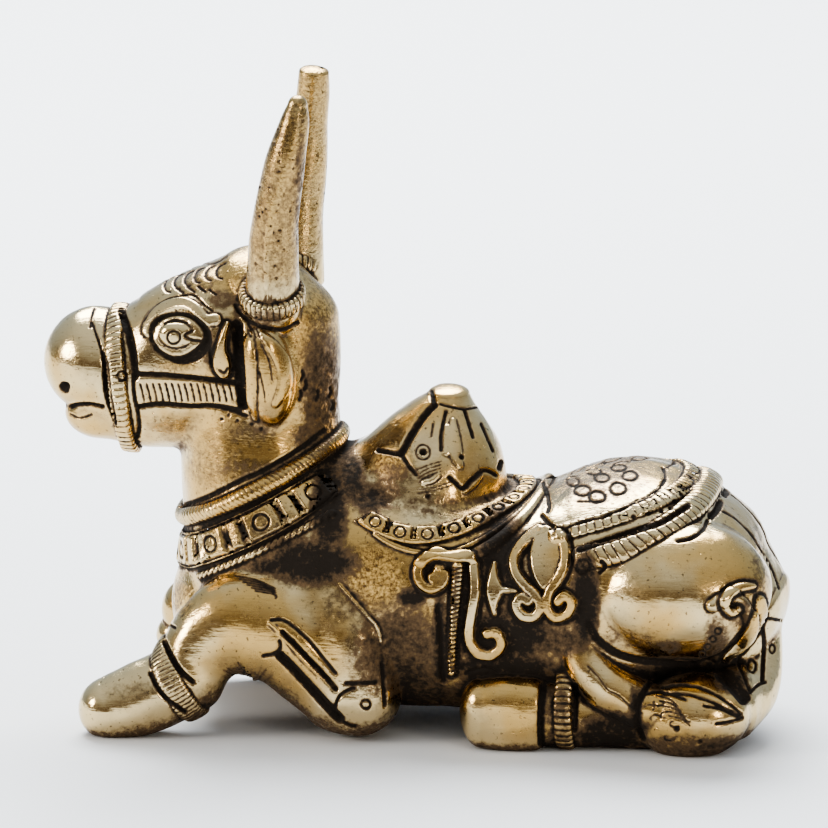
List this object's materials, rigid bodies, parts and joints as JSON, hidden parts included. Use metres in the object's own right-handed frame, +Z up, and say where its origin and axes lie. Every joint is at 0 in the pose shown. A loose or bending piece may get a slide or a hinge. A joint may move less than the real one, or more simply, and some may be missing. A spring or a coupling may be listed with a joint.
{
  "type": "nandi bull figure",
  "caption": "Reclining humped bull figure with upright horns, halter, collar, saddle bands, flank scrolls and a rump cloth, cast solid in brass with a dark patina.",
  "frame": {"origin": "on the plane that the figure rests on, under the middle of its bounding box", "axes": "the bull faces -X, its left side is -Y, +Z is up"},
  "size_m": [0.1096, 0.046, 0.0949],
  "materials": {
    "brass": "hand polished on the high surfaces, with a near black patina left in the chased lines and hollows"
  },
  "bodies": {
    "root": {"nandi_bull": "brass"}
  },
  "joints": []
}
